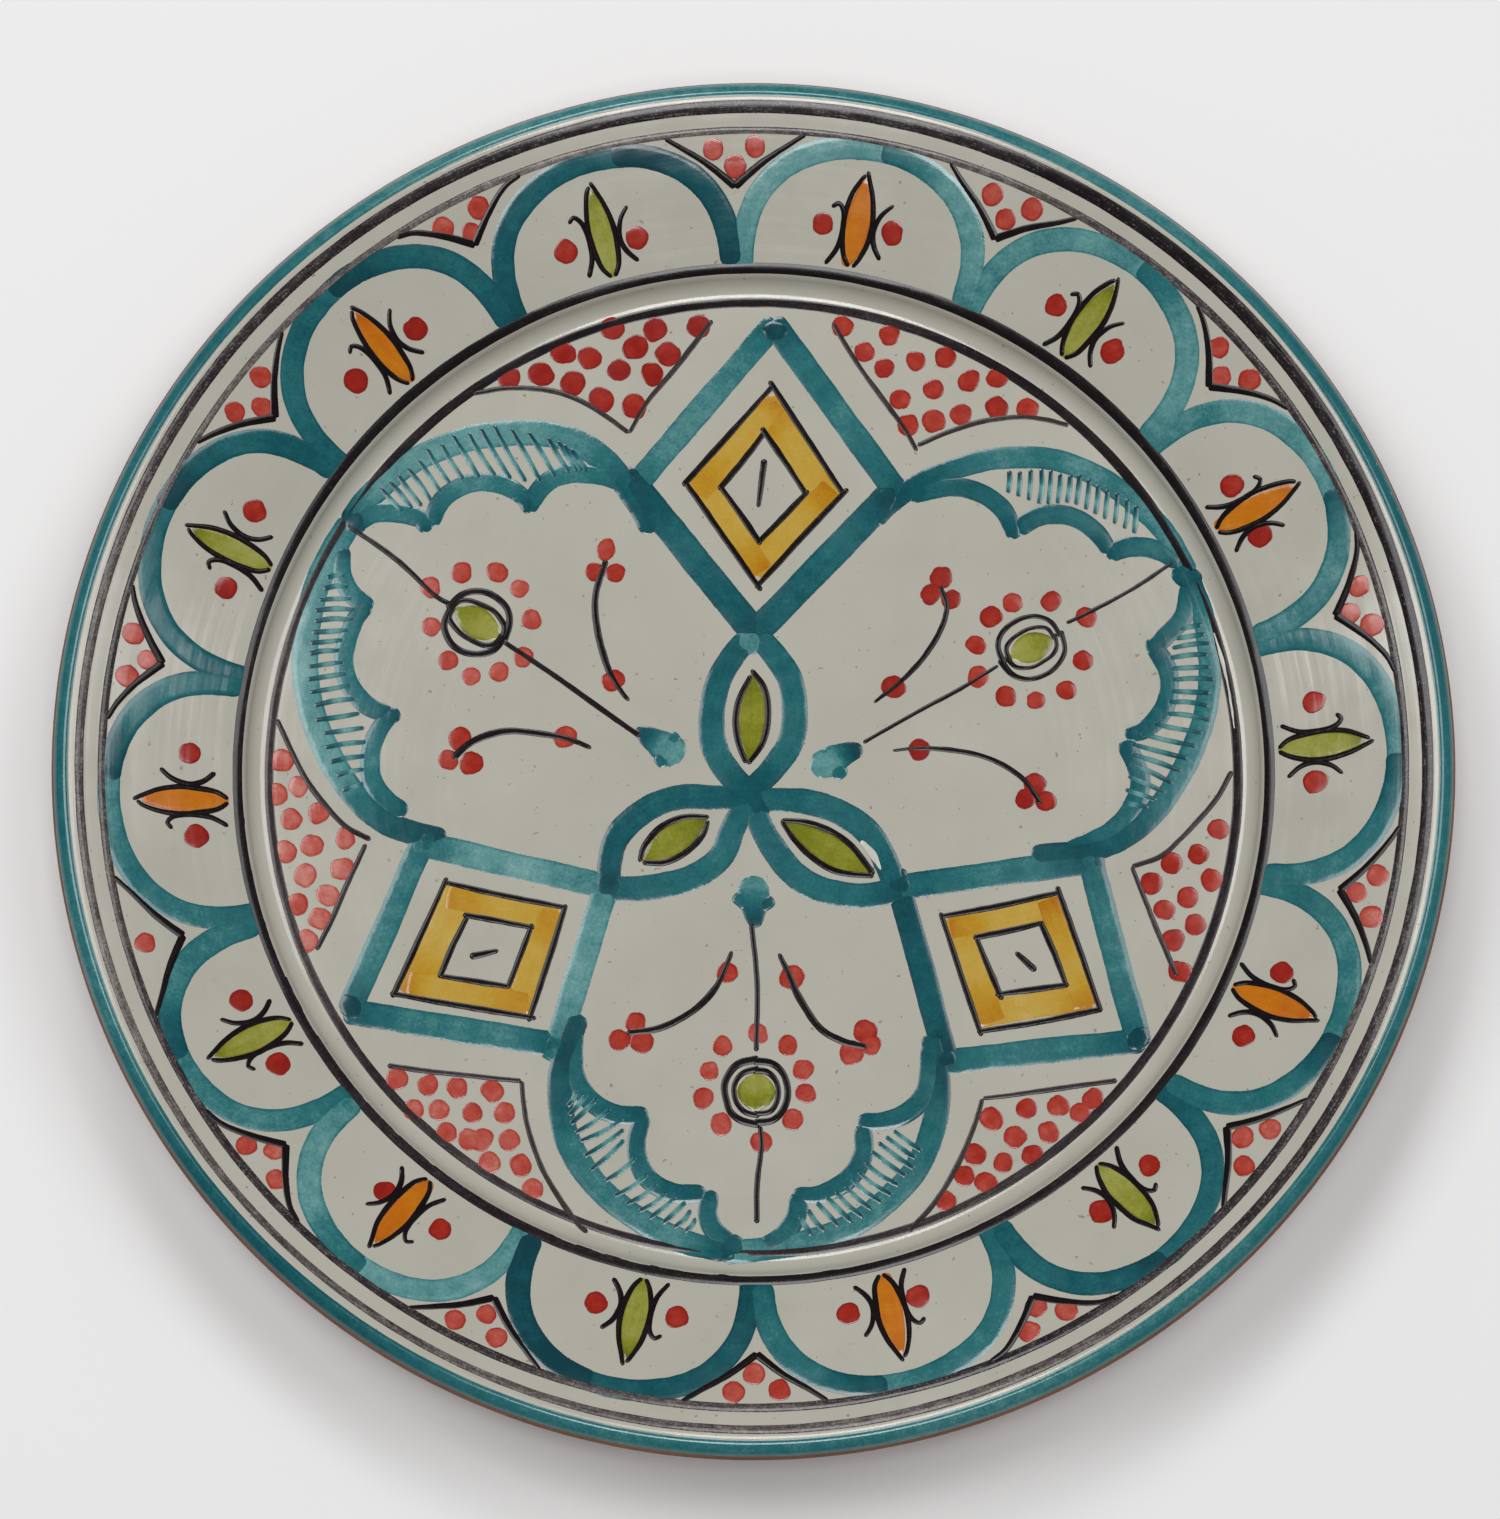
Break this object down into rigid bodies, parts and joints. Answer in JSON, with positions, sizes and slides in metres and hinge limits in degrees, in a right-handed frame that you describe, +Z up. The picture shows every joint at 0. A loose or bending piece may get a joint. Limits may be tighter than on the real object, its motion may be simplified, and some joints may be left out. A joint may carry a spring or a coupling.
{
  "type": "painted dinner plate",
  "caption": "Round hand painted earthenware plate with a flat floor, a wide sloping rim and a foot ring; white glazed face with a teal, red, green and yellow brush pattern.",
  "frame": {"origin": "centre of the foot ring's resting face, on the table", "axes": "+Z up along the plate's axis, +Y towards the top of the painted pattern, +X to the pattern's right"},
  "size_m": [0.3, 0.3, 0.034],
  "materials": {
    "clay": "bare fired clay, turned",
    "white_glaze": "glossy tin white glaze",
    "teal": "glossy brushed colour, thick and thin",
    "grey_line": "glossy, dry brushed",
    "black_line": "glossy fine brush line",
    "red": "glossy, thick dab",
    "green": "glossy, thin wash",
    "orange": "glossy, thin wash",
    "yellow": "glossy, thin wash"
  },
  "bodies": {
    "root": {"clay_body": "clay", "foot_ring": "clay", "white_face_glaze": "white_glaze", "lip_band": "teal", "rim_line_outer": "grey_line", "rim_line_inner": "grey_line", "floor_line_outer": "black_line", "floor_line_inner": "black_line", "rim_arches": "teal", "rim_buds_green": "green", "rim_buds_orange": "orange", "bud_outlines": "black_line", "bud_whiskers": "black_line", "bud_dots": "red", "rim_chevrons": "black_line", "chevron_dots": "red", "lozenge_bands": "teal", "yellow_frames": "yellow", "frame_outlines": "black_line", "lozenge_ticks": "black_line", "petal_arches": "teal", "petal_scallops": "teal", "petal_hatching": "teal", "petal_stems": "black_line", "flower_hearts": "green", "heart_outlines": "black_line", "flower_dots": "red", "sprig_stalks": "black_line", "sprig_dots": "red", "petal_sepals": "teal", "corner_outlines": "grey_line", "corner_dots": "red", "knot_loops": "teal", "knot_leaves": "green", "leaf_outlines": "black_line"}
  },
  "joints": []
}
